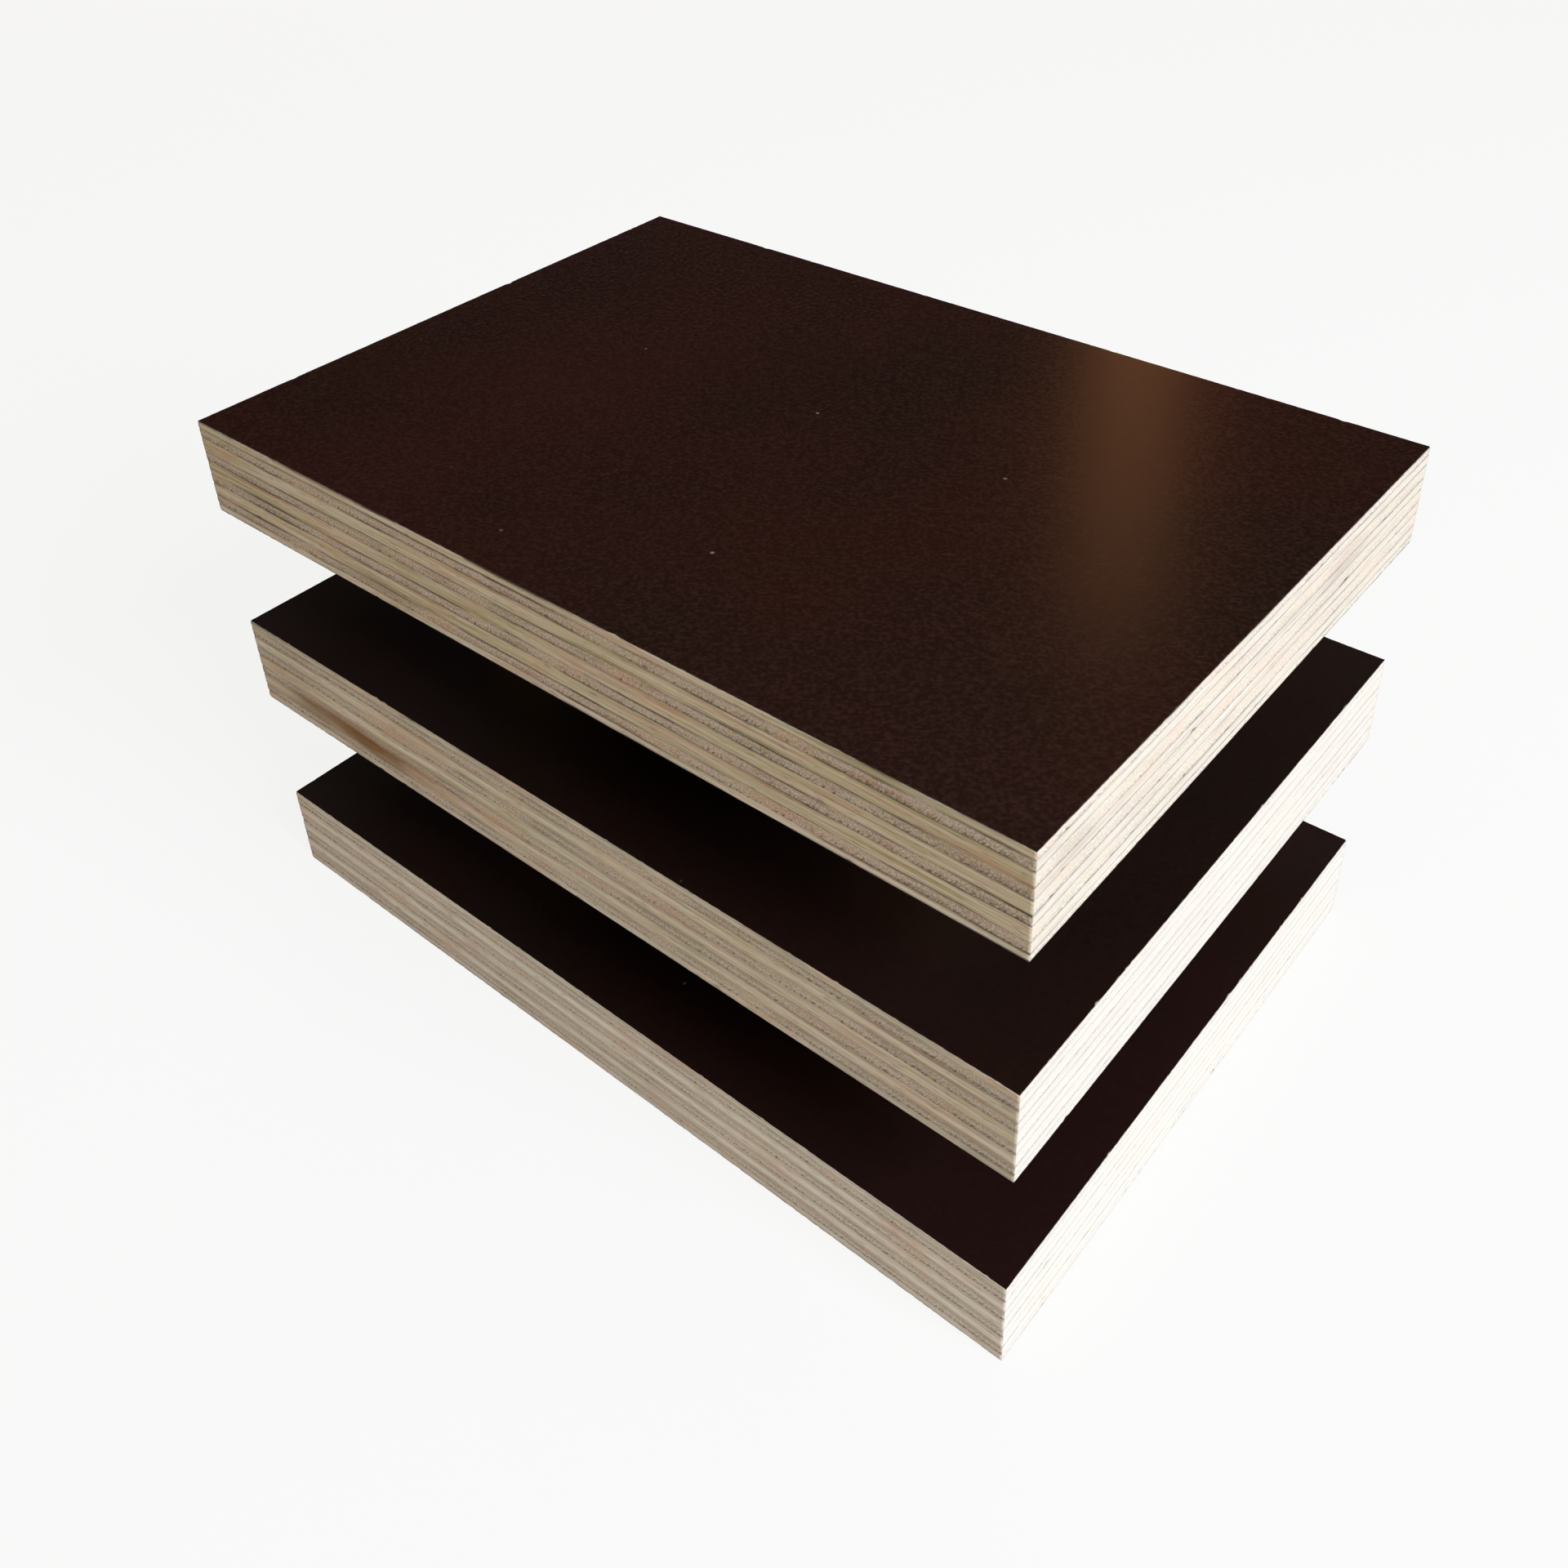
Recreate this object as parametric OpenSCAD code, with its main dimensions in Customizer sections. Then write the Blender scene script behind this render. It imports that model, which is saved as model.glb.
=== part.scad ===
// A stack of three film-faced plywood sheets, held apart by wooden spacers.
// The origin is under the middle of the stack, on the surface that it lies on.
// +X runs along the sheets and the grain of their faces, and +Z points up.

/* [Sheet] */
// Length of a sheet, along the grain of its face veneers
sheet_length = 168; // [140:1:600]
// Width of a sheet, across the grain of its face veneers
sheet_width = 114; // [90:1:400]

/* [Lay-up] */
// Number of veneers in a sheet, always odd so that both faces run the same way
veneer_count = 9; // [5:2:13]
// Thickness of the first and last veneer, under the films
face_veneer = 1.3; // [0.6:0.1:3]
// Thickness of a veneer whose grain runs across the sheet
cross_veneer = 1.8; // [0.6:0.1:4]
// Thickness of an inner veneer whose grain runs along the sheet
long_veneer = 2.6; // [0.6:0.1:4]
// Thickness of the resin film on each face
film_thickness = 0.2; // [0.1:0.05:0.6]

/* [Spacers] */
// Height of a spacer, which sets the gap between two sheets
spacer_height = 24; // [8:1:60]
// Width of a spacer, along the sheet
spacer_width = 18; // [10:1:24]
// Length of a spacer, across the sheet
spacer_length = 58; // [30:1:80]
// Distance from the end of a sheet to the side of the nearest spacer
spacer_setback = 32; // [15:1:44]
// Width of the arris planed off the four long edges of a spacer
spacer_arris = 1; // [0.5:0.1:2]

/* [Hidden] */
SHEETS = ["bottom_sheet", "middle_sheet", "top_sheet"];
GAPS = ["lower", "upper"];
ENDS = ["left", "right"];

film_colour = [0.17, 0.10, 0.085];
long_grain_colour = [0.74, 0.63, 0.46];
end_grain_colour = [0.56, 0.45, 0.31];
spacer_colour = [0.80, 0.67, 0.46];

last_veneer = veneer_count - 1;

// Veneers are counted from the underside of a sheet, starting at 0, and the
// even ones run along it.
function runs_along(veneer) = veneer % 2 == 0;
function is_face(veneer) = veneer == 0 || veneer == last_veneer;
function thickness_of(veneer) =
    is_face(veneer) ? face_veneer : runs_along(veneer) ? long_veneer : cross_veneer;

// Height of a veneer's underside above the underside of its sheet
function veneer_level(veneer) =
    veneer == 0 ? film_thickness : veneer_level(veneer - 1) + thickness_of(veneer - 1);

face_film_level = veneer_level(veneer_count);
sheet_thickness = face_film_level + film_thickness;

// Height of a sheet's underside, and of the spacers that stand on a sheet
function sheet_level(sheet) = sheet * (sheet_thickness + spacer_height);
function spacer_level(gap) = sheet_level(gap) + sheet_thickness;

// Middle of a spacer along the sheet: end 0 is at -X and end 1 at +X
spacer_reach = sheet_length / 2 - spacer_setback - spacer_width / 2;
function spacer_place(end) = (end == 0 ? -1 : 1) * spacer_reach;

function back_film_name(sheet) = str(SHEETS[sheet], "_back_film");
function face_film_name(sheet) = str(SHEETS[sheet], "_face_film");
function veneer_name(sheet, veneer) = str(SHEETS[sheet], "_veneer_", veneer + 1);
function spacer_name(gap, end) = str(GAPS[gap], "_", ENDS[end], "_spacer");

sheet_numbers = [0 : len(SHEETS) - 1];
veneer_numbers = [0 : last_veneer];
gap_numbers = [0 : len(GAPS) - 1];
end_numbers = [0 : len(ENDS) - 1];

// One layer of a sheet, sawn to the outline that all layers share
module layer(level, thickness) {
    translate([0, 0, level])
        linear_extrude(thickness)
            square([sheet_length, sheet_width], center = true);
}

module film(sheet, level) {
    color(film_colour)
        layer(sheet_level(sheet) + level, film_thickness);
}

module veneer(sheet, veneer) {
    color(runs_along(veneer) ? long_grain_colour : end_grain_colour)
        layer(sheet_level(sheet) + veneer_level(veneer), thickness_of(veneer));
}

// Section of a spacer: a planed batten with its four long edges eased
module spacer_section() {
    half_width = spacer_width / 2;
    flat_half = half_width - spacer_arris;
    arris_top = spacer_height - spacer_arris;
    polygon([
        [-flat_half, 0], [flat_half, 0],
        [half_width, spacer_arris], [half_width, arris_top],
        [flat_half, spacer_height], [-flat_half, spacer_height],
        [-half_width, arris_top], [-half_width, spacer_arris]
    ]);
}

// The section stands in the XZ plane and runs across the sheet.
module spacer(gap, end) {
    color(spacer_colour)
        translate([spacer_place(end), spacer_length / 2, spacer_level(gap)])
            rotate([90, 0, 0])
                linear_extrude(spacer_length)
                    spacer_section();
}

for (sheet = sheet_numbers) {
    film(sheet, 0);
    for (veneer = veneer_numbers)
        veneer(sheet, veneer);
    film(sheet, face_film_level);
}
for (gap = gap_numbers, end = end_numbers)
    spacer(gap, end);
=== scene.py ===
# %% [markdown]
# # A stack of film-faced plywood, dressed in Blender
# Three cut panels of film-faced plywood lie one above the other on wooden spacers. Plywood is easy
# to recognise by its edge: thin veneers, each turned across the last, with a dark glue line between
# them. The solids arrive with every veneer at its real size and place. This lesson gives them the
# wavy seams, torn fibres, grain, glue and resin film that make sawn plywood look like plywood.

# %% Load the fixed frame
import math

import bpy
import numpy as np
from mathutils import Matrix, Vector


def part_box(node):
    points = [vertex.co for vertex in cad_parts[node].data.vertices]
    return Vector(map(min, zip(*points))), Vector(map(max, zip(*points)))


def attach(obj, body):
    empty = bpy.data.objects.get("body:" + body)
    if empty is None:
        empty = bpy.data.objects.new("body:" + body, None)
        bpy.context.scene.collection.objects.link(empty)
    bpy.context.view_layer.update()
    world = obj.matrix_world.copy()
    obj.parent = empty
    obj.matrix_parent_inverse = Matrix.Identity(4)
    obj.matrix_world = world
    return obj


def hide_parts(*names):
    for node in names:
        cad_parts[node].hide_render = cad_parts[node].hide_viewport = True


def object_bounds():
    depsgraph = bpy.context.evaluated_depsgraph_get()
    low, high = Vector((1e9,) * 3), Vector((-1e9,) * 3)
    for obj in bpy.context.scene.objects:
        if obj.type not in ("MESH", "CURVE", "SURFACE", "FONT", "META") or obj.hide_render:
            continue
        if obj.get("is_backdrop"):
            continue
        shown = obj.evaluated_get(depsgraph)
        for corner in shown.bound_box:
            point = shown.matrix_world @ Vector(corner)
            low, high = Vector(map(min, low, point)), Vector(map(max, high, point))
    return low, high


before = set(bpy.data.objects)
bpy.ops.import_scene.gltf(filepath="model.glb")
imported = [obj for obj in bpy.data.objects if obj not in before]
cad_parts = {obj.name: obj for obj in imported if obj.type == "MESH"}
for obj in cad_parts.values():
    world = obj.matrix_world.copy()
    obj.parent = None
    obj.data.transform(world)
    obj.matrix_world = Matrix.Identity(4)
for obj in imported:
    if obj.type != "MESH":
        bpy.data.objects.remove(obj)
cad_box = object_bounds()
MM = 0.001
print(len(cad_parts), "solids measure", [round(side / MM, 1) for side in cad_box[1] - cad_box[0]], "mm")

# %% [markdown]
# ## What the frame already knows
# The size and place of each layer could be typed in again, but they are read from the solids, so that
# nothing has to be fitted by hand. A sheet is a back film, nine veneers counted from the underside,
# and a face film. The odd veneers run along the sheet and the even ones across it.

# %% Read the lay-up from the frame
SHEETS = ("bottom_sheet", "middle_sheet", "top_sheet")
VENEERS = range(1, 10)


def layer_size(node):
    """A layer's length, width, underside and thickness, in metres."""
    low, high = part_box(node)
    return high.x - low.x, high.y - low.y, low.z, high.z - low.z


LENGTH, WIDTH, _, _ = layer_size("top_sheet_veneer_1")
for veneer in VENEERS:
    thickness = layer_size(f"top_sheet_veneer_{veneer}")[3]
    print(f"veneer {veneer}: {thickness / MM:.1f} mm, grain {'along' if veneer % 2 else 'across'}")

# %% [markdown]
# ## Colours and nodes
# Colours are written as sRGB hex values, the way a colour picker shows them, but shaders work in
# linear light, so one function converts them. Shader trees and geometry trees are both built from
# nodes, so one function adds a node, sets its properties, feeds its sockets and, on a colour ramp,
# places the stops.

# %% Helpers for colours and nodes
def linear(hex_colour):
    """An sRGB hex colour as the linear RGBA that shader sockets take."""
    parts = [int(hex_colour[i:i + 2], 16) / 255 for i in (1, 3, 5)]
    return [p / 12.92 if p <= 0.04045 else ((p + 0.055) / 1.055) ** 2.4 for p in parts] + [1.0]


def add_node(tree, kind, inputs=(), stops=(), **settings):
    """Adds a node. Each input is a value, a socket that feeds it, or a node whose first output does."""
    node = tree.nodes.new(kind)
    for name, value in settings.items():
        setattr(node, name, value)
    for key, value in dict(inputs).items():
        if isinstance(value, bpy.types.Node):
            value = value.outputs[0]
        if isinstance(value, bpy.types.NodeSocket):
            tree.links.new(value, node.inputs[key])
        else:
            node.inputs[key].default_value = value
    for number, (place, colour) in enumerate(stops):
        elements = node.color_ramp.elements
        # A new ramp already has two stops
        element = elements[number] if number < 2 else elements.new(place)
        element.position = place
        element.color = linear(colour)
    return node


print("film brown in linear light:", [round(part, 4) for part in linear("#28120c")])

# %% [markdown]
# ## Materials in coats
# A real surface is a ground colour with marks over it, such as pores, streaks, glue and scuffs. A
# mark can be kept as a coat of its own: a mask that says how strongly it covers, and a colour. One
# ramp could hold them all, but coats laid one over the other with Mix nodes can each be tuned alone.

# %% Helpers for materials
def new_material(name):
    """A material with an empty node tree, and that tree."""
    material = bpy.data.materials.new(name)
    material.use_nodes = True
    material.node_tree.nodes.clear()
    return material, material.node_tree


def paint_over(tree, colour, coats):
    """Covers a colour with coats, each a mask and a hex colour, and gives the socket of the result."""
    for mask, hex_colour in coats:
        mixed = add_node(
            tree, "ShaderNodeMix", {"Factor": mask, "A": colour, "B": linear(hex_colour)}, data_type="RGBA"
        )
        colour = mixed.outputs["Result"]
    return colour


print("materials that came with the frame:", len(bpy.data.materials))

# %% [markdown]
# ## Poplar veneer: the grain
# Poplar is peeled from the log in a long ribbon, so a veneer's side edge shows fine fibres that run
# with the grain, and its end edge shows the cut ends of those fibres. A flat picture of wood would
# break at each corner. Solid noises in Object coordinates don't: stretched along the grain, one
# noise makes streaks on one edge and specks on the other. A Mapping node of type Texture divides by
# its scale, so its scale is simply the real size of the pattern. The ply's own number is the
# noise's fourth coordinate, so no two veneers look alike.

# %% Noises of real sizes
GRAIN_PATTERNS = {
    # Length, width and height in mm with the grain along X, turns about X and Z in degrees, and detail.
    # Real fibres, flecks and checks are finer: these are as coarse as the picture needs.
    "fibre": ((14, 0.34, 0.34), (0, 0), 2),
    "flow": ((45, 14, 1.2), (0, 0), 3),
    "check": ((20, 0.30, 1.1), (38, 0), 1),
    "fleck": ((3.0, 0.5, 0.3), (0, 0), 1),
    "run": ((15, 15, 15), (0, 0), 4),
}


def solid_noises(tree, patterns, grain_turn=0.0, number=None):
    """Solid noises of real sizes, turned about Z with the grain. A number sets like pieces apart."""
    place = add_node(tree, "ShaderNodeTexCoord").outputs["Object"]
    fourth = {} if number is None else {"W": number}
    noise = {}
    for pattern, (size, (about_x, about_z), detail) in patterns.items():
        spread = add_node(
            tree, "ShaderNodeMapping",
            {"Vector": place, "Scale": [side * MM for side in size],
             "Rotation": (math.radians(about_x), 0, math.radians(about_z) + grain_turn)},
            vector_type="TEXTURE",
        )
        made = add_node(
            tree, "ShaderNodeTexNoise", {"Vector": spread, "Scale": 1, "Detail": detail, **fourth},
            noise_dimensions="4D" if fourth else "3D",
        )
        noise[pattern] = made.outputs["Fac"]
    return noise


print("grain patterns, in mm:", {pattern: size for pattern, (size, _, _) in GRAIN_PATTERNS.items()})

# %% [markdown]
# ## Poplar veneer: marks of the grain
# Sap lies in broad reddish patches, pores are pale and fine, and flecks are short and dark. Each of
# these follows one noise. A colour ramp for each would do, but a table of plain numbers is easier to
# read and to tune. Most of a noise lies near 0.5, so a mark starts a little off the middle and is
# full further out, above it or below it. Two more of these masks only say how rough a stretch of end
# grain is and how much glue ran out there.

# %% Marks that follow one noise
GRAIN_MARKS = {
    # Pattern, where the mark starts and is full, and its least and greatest cover
    "sap": ("run", 0.48, 0.34, 0.0, 0.40),
    "pore": ("fibre", 0.50, 0.36, 0.0, 0.45),
    "fleck": ("fleck", 0.60, 0.74, 0.0, 0.55),
    "rough_stretch": ("run", 0.36, 0.60, 0.20, 0.55),
    "glue_stretch": ("run", 0.42, 0.62, 0.06, 1.0),
}


def noise_marks(tree, noise, table):
    """How strongly each mark of a table covers. Each follows one noise."""
    marks = {}
    for name, (pattern, start, full, least, most) in table.items():
        marks[name] = add_node(
            tree, "ShaderNodeMapRange",
            {"Value": noise[pattern], "From Min": start, "From Max": full, "To Min": least, "To Max": most},
        )
    return marks


print("marks that follow one noise:", list(GRAIN_MARKS))

# %% [markdown]
# ## Poplar veneer: end grain, and painted light on the right
# A face that looks along the grain shows the ends of the fibres, which are greyer than their sides.
# The faces that look right, towards the lamp, are painted paler: that is painted light. Both could be
# painted face by face, but they follow from the face's normal, so the material finds them by itself.
# True Normal is used, because the smooth one would blur the corners.

# %% Marks that follow the way a face looks
FACING = {"From Min": 0.55, "From Max": 0.85}  # how squarely a face has to look that way
END_GREYING = 0.22  # how strongly the grey covers there


def facing_marks(tree, turn, painted_light_cover):
    """The end grain, its greying, and the painted light on the faces that look right."""
    normal = add_node(tree, "ShaderNodeNewGeometry").outputs["True Normal"]
    grain = (math.cos(turn), math.sin(turn), 0)
    along = add_node(tree, "ShaderNodeVectorMath", {0: normal, 1: grain}, operation="DOT_PRODUCT")
    squarely = add_node(tree, "ShaderNodeMath", {0: along.outputs["Value"]}, operation="ABSOLUTE")
    end_grain = add_node(tree, "ShaderNodeMapRange", {"Value": squarely, **FACING})
    greying = add_node(tree, "ShaderNodeMath", {0: end_grain, 1: END_GREYING}, operation="MULTIPLY")
    to_right = add_node(tree, "ShaderNodeSeparateXYZ", {0: normal}).outputs["X"]
    # Painted light: faces that look right, towards the lamp, are painted paler.
    fresh = add_node(tree, "ShaderNodeMapRange", {"Value": to_right, **FACING, "To Max": painted_light_cover})
    return {"end_grain": end_grain, "greying": greying, "fresh": fresh}


print(f"end grain starts {math.degrees(math.acos(FACING['From Min'])):.0f} degrees off the grain")

# %% [markdown]
# ## Poplar veneer: streaks and lathe checks
# Dark streaks are fibres that the saw tore out. They lie evenly on side grain, and in rough stretches
# on end grain. Peeling bends the ribbon open and leaves lathe checks, short slanted cracks that only
# show on end grain, start at the lower seam, and gape more near the corners of a sheet. They are too
# fine and too many to cut as geometry, so they are drawn, and later sunk a little by a bump.

# %% Marks that the saw and the lathe left
STREAK_START, STREAK_FULL = 0.46, 0.68  # heights of the fibre noise
SIDE_STREAK = 0.28  # cover on side grain
CHECK_REACH = 1.1  # mm that the lathe checks reach up from their seam
CHECK_START, CHECK_FULL = 0.57, 0.66  # heights of the check noise
WORN_CHECK_START = 0.42  # the start at a corner, where more checks show


def torn_marks(tree, noise, read, marks):
    """Torn fibres, and the lathe checks on the end grain."""
    depth = add_node(
        tree, "ShaderNodeMapRange",
        {"Value": marks["end_grain"], "To Min": SIDE_STREAK, "To Max": marks["rough_stretch"]},
    )
    streak = add_node(
        tree, "ShaderNodeMapRange",
        {"Value": noise["fibre"], "From Min": STREAK_START, "From Max": STREAK_FULL, "To Max": depth},
    )
    height = add_node(
        tree, "ShaderNodeMapRange",
        {"Value": read["from_lower"], "From Max": CHECK_REACH, "To Min": marks["end_grain"], "To Max": 0},
    )
    start = add_node(
        tree, "ShaderNodeMapRange",
        {"Value": read["corner_wear"], "To Min": CHECK_START, "To Max": WORN_CHECK_START},
    )
    check = add_node(
        tree, "ShaderNodeMapRange",
        {"Value": noise["check"], "From Min": start, "From Max": CHECK_FULL, "To Max": height},
    )
    return {"streak": streak, "check": check}


print("lathe checks reach", CHECK_REACH, "mm up from a seam")

# %% [markdown]
# ## Poplar veneer: glue and stains
# Phenolic glue soaks into the wood on both sides of a seam and darkens it, more in some stretches
# than in others, and the middle of the veneer stays clean and pale. Lines drawn at fixed heights
# would miss the wandering seams, so the glue reads two attributes that the geometry stores: how far
# a point is from its lower and from its upper seam, in millimetres. Stains are stored the same way.

# %% Marks that follow the seams
CORE = {"From Min": 0.5, "From Max": 1.2, "To Min": 0.18, "To Max": 0.55}  # mm from a seam, cover there


def seam_marks(tree, noise, read, marks):
    """The clean core of a veneer, the glue along its seams, and its stains."""
    seam = add_node(
        tree, "ShaderNodeMath", {0: read["from_lower"], 1: read["from_upper"]}, operation="MINIMUM"
    )
    core = add_node(tree, "ShaderNodeMapRange", {"Value": seam, **CORE})
    paleness = add_node(tree, "ShaderNodeMath", {0: read["pale"], 1: core}, operation="MULTIPLY")
    amount = add_node(
        tree, "ShaderNodeMath", {0: marks["glue_stretch"], 1: read["glue"]}, operation="MULTIPLY"
    )
    glue = add_node(
        tree, "ShaderNodeMapRange",
        {"Value": seam, "From Max": read["glue_reach"], "To Min": amount, "To Max": 0},
        interpolation_type="SMOOTHSTEP",
    )
    stain = add_node(
        tree, "ShaderNodeMath", {0: read["stain"], 1: noise["run"]}, operation="MULTIPLY", use_clamp=True
    )
    return {"paleness": paleness, "glue": glue, "stain": stain}


print("a veneer is palest", CORE["From Max"], "mm and more from its seams")

# %% [markdown]
# ## Poplar veneer: the material
# Rotary-cut poplar left by a saw is dry and rough, so the eye sees no highlight on it, only soft
# pale wood with dark lines, and the glue a little smoother than the wood. The coats go on in the
# order in which the real marks came: the wood first, then what the lathe and the saw did, then
# stains and glue. Painted light goes on last: the faces that look right are painted paler. The two
# grain directions have a tone each.

# %% Coats and finish of poplar
STORED_ON_POINTS = (
    "ply_number", "from_lower", "from_upper", "corner_wear", "pale", "glue", "glue_reach", "fresh", "stain",
)
WOOD_COATS = {
    # paleness: the pale core of the wood, and on the bottom sheet partly painted light
    "paleness": "#f6ecda",
    "greying": "#bda692",
    "sap": "#cf9f76",
    "pore": "#e9dfcd",
    "streak": "#8a7355",
    "fleck": "#6a5236",
    "check": "#4f3d29",
    "stain": "#8a6334",
    "glue": "#503a1e",
    # painted light: the paler colour of the faces that look right
    "fresh": "#e9e4dc",
}
WOOD_ROUGHNESS = 0.82
WOOD_GLOSS = 0.3
GLUE_ROUGHNESS = 0.5
FIBRE_DEPTH = 0.1 * MM
FIBRE_RELIEF = 0.4
print("poplar has", len(WOOD_COATS), "coats and reads", len(STORED_ON_POINTS), "attributes")

# %% Poplar veneer material
def veneer_material(name, turn, tones):
    """Rotary-cut poplar: dry and rough, streaked along the grain and speckled across it."""
    material, tree = new_material(name)
    read = {}
    for label in STORED_ON_POINTS:
        read[label] = add_node(tree, "ShaderNodeAttribute", attribute_name=label).outputs["Fac"]
    noise = solid_noises(tree, GRAIN_PATTERNS, turn, read["ply_number"])
    marks = noise_marks(tree, noise, GRAIN_MARKS)
    marks.update(facing_marks(tree, turn, read["fresh"]))
    marks.update(torn_marks(tree, noise, read, marks))
    marks.update(seam_marks(tree, noise, read, marks))
    tone = add_node(tree, "ShaderNodeValToRGB", {"Fac": noise["flow"]}, stops=tones)
    coats = [(marks[coat], hex_colour) for coat, hex_colour in WOOD_COATS.items()]
    colour = paint_over(tree, tone, coats)
    rough = add_node(
        tree, "ShaderNodeMapRange",
        {"Value": marks["glue"], "To Min": WOOD_ROUGHNESS, "To Max": GLUE_ROUGHNESS},
    )
    sunk = add_node(tree, "ShaderNodeMath", {0: marks["streak"], 1: marks["check"]}, operation="MAXIMUM")
    bump = add_node(
        tree, "ShaderNodeBump",
        {"Height": sunk, "Strength": FIBRE_RELIEF, "Distance": FIBRE_DEPTH}, invert=True,
    )
    shader = add_node(
        tree, "ShaderNodeBsdfPrincipled",
        {"Base Color": colour, "Roughness": rough, "Normal": bump,
         "Specular IOR Level": WOOD_GLOSS},
    )
    add_node(tree, "ShaderNodeOutputMaterial", {"Surface": shader.outputs["BSDF"]})
    return material


print(f"torn fibres are drawn {FIBRE_DEPTH / MM:.1f} mm deep")

# %% The two poplar veneers
long_veneer = veneer_material(
    "poplar_veneer_along", 0.0,
    [(0.36, "#b3a475"), (0.44, "#c9ba91"), (0.50, "#d6c8a4"), (0.57, "#d1ba97"), (0.65, "#c59e7a")],
)
cross_veneer = veneer_material(
    "poplar_veneer_across", math.radians(90),
    [(0.36, "#ae9e81"), (0.44, "#c4b495"), (0.50, "#d0c1a6"), (0.57, "#ccb59a"), (0.65, "#bc987e")],
)
print(long_veneer.name, "and", cross_veneer.name, "have", len(long_veneer.node_tree.nodes), "nodes each")

# %% [markdown]
# ## Dust on the film
# A few pale specks of dust lie on the film. They could be small meshes, but a Voronoi texture gives
# them for nothing: each cell has one middle, which becomes a speck, and a random colour, which
# decides whether this cell has one.

# %% Specks of dust
SPECK_SPACING = 11 * MM
SPECK_RADIUS = 0.4 * MM
SPECK_CHOICE = {"From Min": 0.45, "From Max": 0.7}  # how bright a cell has to be to have a speck


def dust_specks(tree):
    """A mask of small round specks, far apart."""
    place = add_node(tree, "ShaderNodeTexCoord").outputs["Object"]
    cells = add_node(tree, "ShaderNodeTexVoronoi", {"Vector": place, "Scale": 1 / SPECK_SPACING}).outputs
    near = add_node(
        tree, "ShaderNodeMapRange",
        {"Value": cells["Distance"], "From Max": SPECK_RADIUS / SPECK_SPACING, "To Min": 1, "To Max": 0},
    )
    chosen = add_node(tree, "ShaderNodeMapRange", {"Value": cells["Color"], **SPECK_CHOICE})
    return add_node(tree, "ShaderNodeMath", {0: near, 1: chosen}, operation="MULTIPLY")


print(f"specks of {2 * SPECK_RADIUS / MM:.1f} mm, one at most in a cell of {SPECK_SPACING / MM:.0f} mm")

# %% [markdown]
# ## Phenolic film
# The dark faces are paper soaked in phenolic resin and pressed on hot. To the eye that is a hard,
# half-glossy skin with a faint cloud and fibres of paper in it, a slight orange peel, and the odd
# scuff from handling. The three sheets have the same film. The top one keeps it brown and shiny, and
# the films below get a nearly black copy, which is painted shade for the shade between the sheets, and
# duller. So the same function makes two materials. Cloud, fibres, scuffs and peel are noises of their
# real sizes, in tables like those of the wood.

# %% Patterns and finish of the film
FILM_PATTERNS = {
    # Size in mm, turns and detail. Real paper fibres are finer, and wouldn't show.
    "cloud": ((60, 60, 60), (0, 0), 2),
    "paper": ((0.7, 0.7, 0.7), (0, 0), 3),
    "peel": ((2.4, 2.4, 2.4), (0, 0), 1),
    "scuff": ((2.4, 0.4, 1), (0, 37), 2),
}
FILM_MARKS = {
    # Pattern, where the mark starts and is full, and its least and greatest cover
    "paper": ("paper", 0.42, 0.70, 0.0, 0.42),
    "scuff": ("scuff", 0.58, 0.78, 0.0, 0.30),
}
PAPER_SPREAD = {"From Min": 0.3, "From Max": 0.7}  # nearly all of the paper noise lies in between
PAPER_DULLNESS = 0.03  # how far the fibres take the roughness up and down
PEEL_DEPTH = 0.02 * MM
PEEL_RELIEF = 0.12
SPECK_COLOUR = "#a09080"
RESIN_IOR = 1.5
print("film patterns, in mm:", {pattern: size for pattern, (size, _, _) in FILM_PATTERNS.items()})

# %% Phenolic film material
def film_material(name, tones, fibre_colour, scuff_colour, gloss, dullness):
    """Phenolic resin film: dark, hard and half-glossy, with fibres of paper in it."""
    material, tree = new_material(name)
    noise = solid_noises(tree, FILM_PATTERNS)
    marks = noise_marks(tree, noise, FILM_MARKS)
    tone = add_node(tree, "ShaderNodeValToRGB", {"Fac": noise["cloud"]}, stops=tones)
    colour = paint_over(tree, tone, [
        (marks["paper"], fibre_colour), (marks["scuff"], scuff_colour), (dust_specks(tree), SPECK_COLOUR),
    ])
    rough = add_node(
        tree, "ShaderNodeMapRange",
        {"Value": noise["paper"], **PAPER_SPREAD,
         "To Min": dullness - PAPER_DULLNESS, "To Max": dullness + PAPER_DULLNESS},
    )
    bump = add_node(
        tree, "ShaderNodeBump", {"Height": noise["peel"], "Strength": PEEL_RELIEF, "Distance": PEEL_DEPTH}
    )
    shader = add_node(
        tree, "ShaderNodeBsdfPrincipled",
        {"Base Color": colour, "Roughness": rough, "Normal": bump,
         "IOR": RESIN_IOR, "Specular IOR Level": gloss},
    )
    add_node(tree, "ShaderNodeOutputMaterial", {"Surface": shader.outputs["BSDF"]})
    return material


print(f"orange peel is drawn {PEEL_DEPTH / MM:.2f} mm deep")

# %% The two films
brown_film = film_material(
    "phenolic_film_brown", [(0.35, "#20120c"), (0.5, "#28120c"), (0.65, "#2d130e")], "#412821", "#4c3328",
    gloss=0.26, dullness=0.20,
)
# Painted shade: the same film, made nearly black for the lower sheets, which lie in the shade between the
# sheets.
painted_shade_film = film_material(
    "phenolic_film_black", [(0.35, "#1b110d"), (0.5, "#20120e"), (0.65, "#23120f")], "#281812", "#301e18",
    gloss=0.16, dullness=0.34,
)
print("film materials:", brown_film.name, "and", painted_shade_film.name)

# %% [markdown]
# ## Spruce batten
# The spacers are offcuts of planed spruce, pale yellow with darker lines and a dry sheen. Growth
# rings cross the section as arcs round the heart of the tree and run out along the sides as lines,
# so one set of rings round an axis beside the batten draws both. A saw-shaped wave gives each ring
# its slow pale start and sudden dark end.

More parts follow.
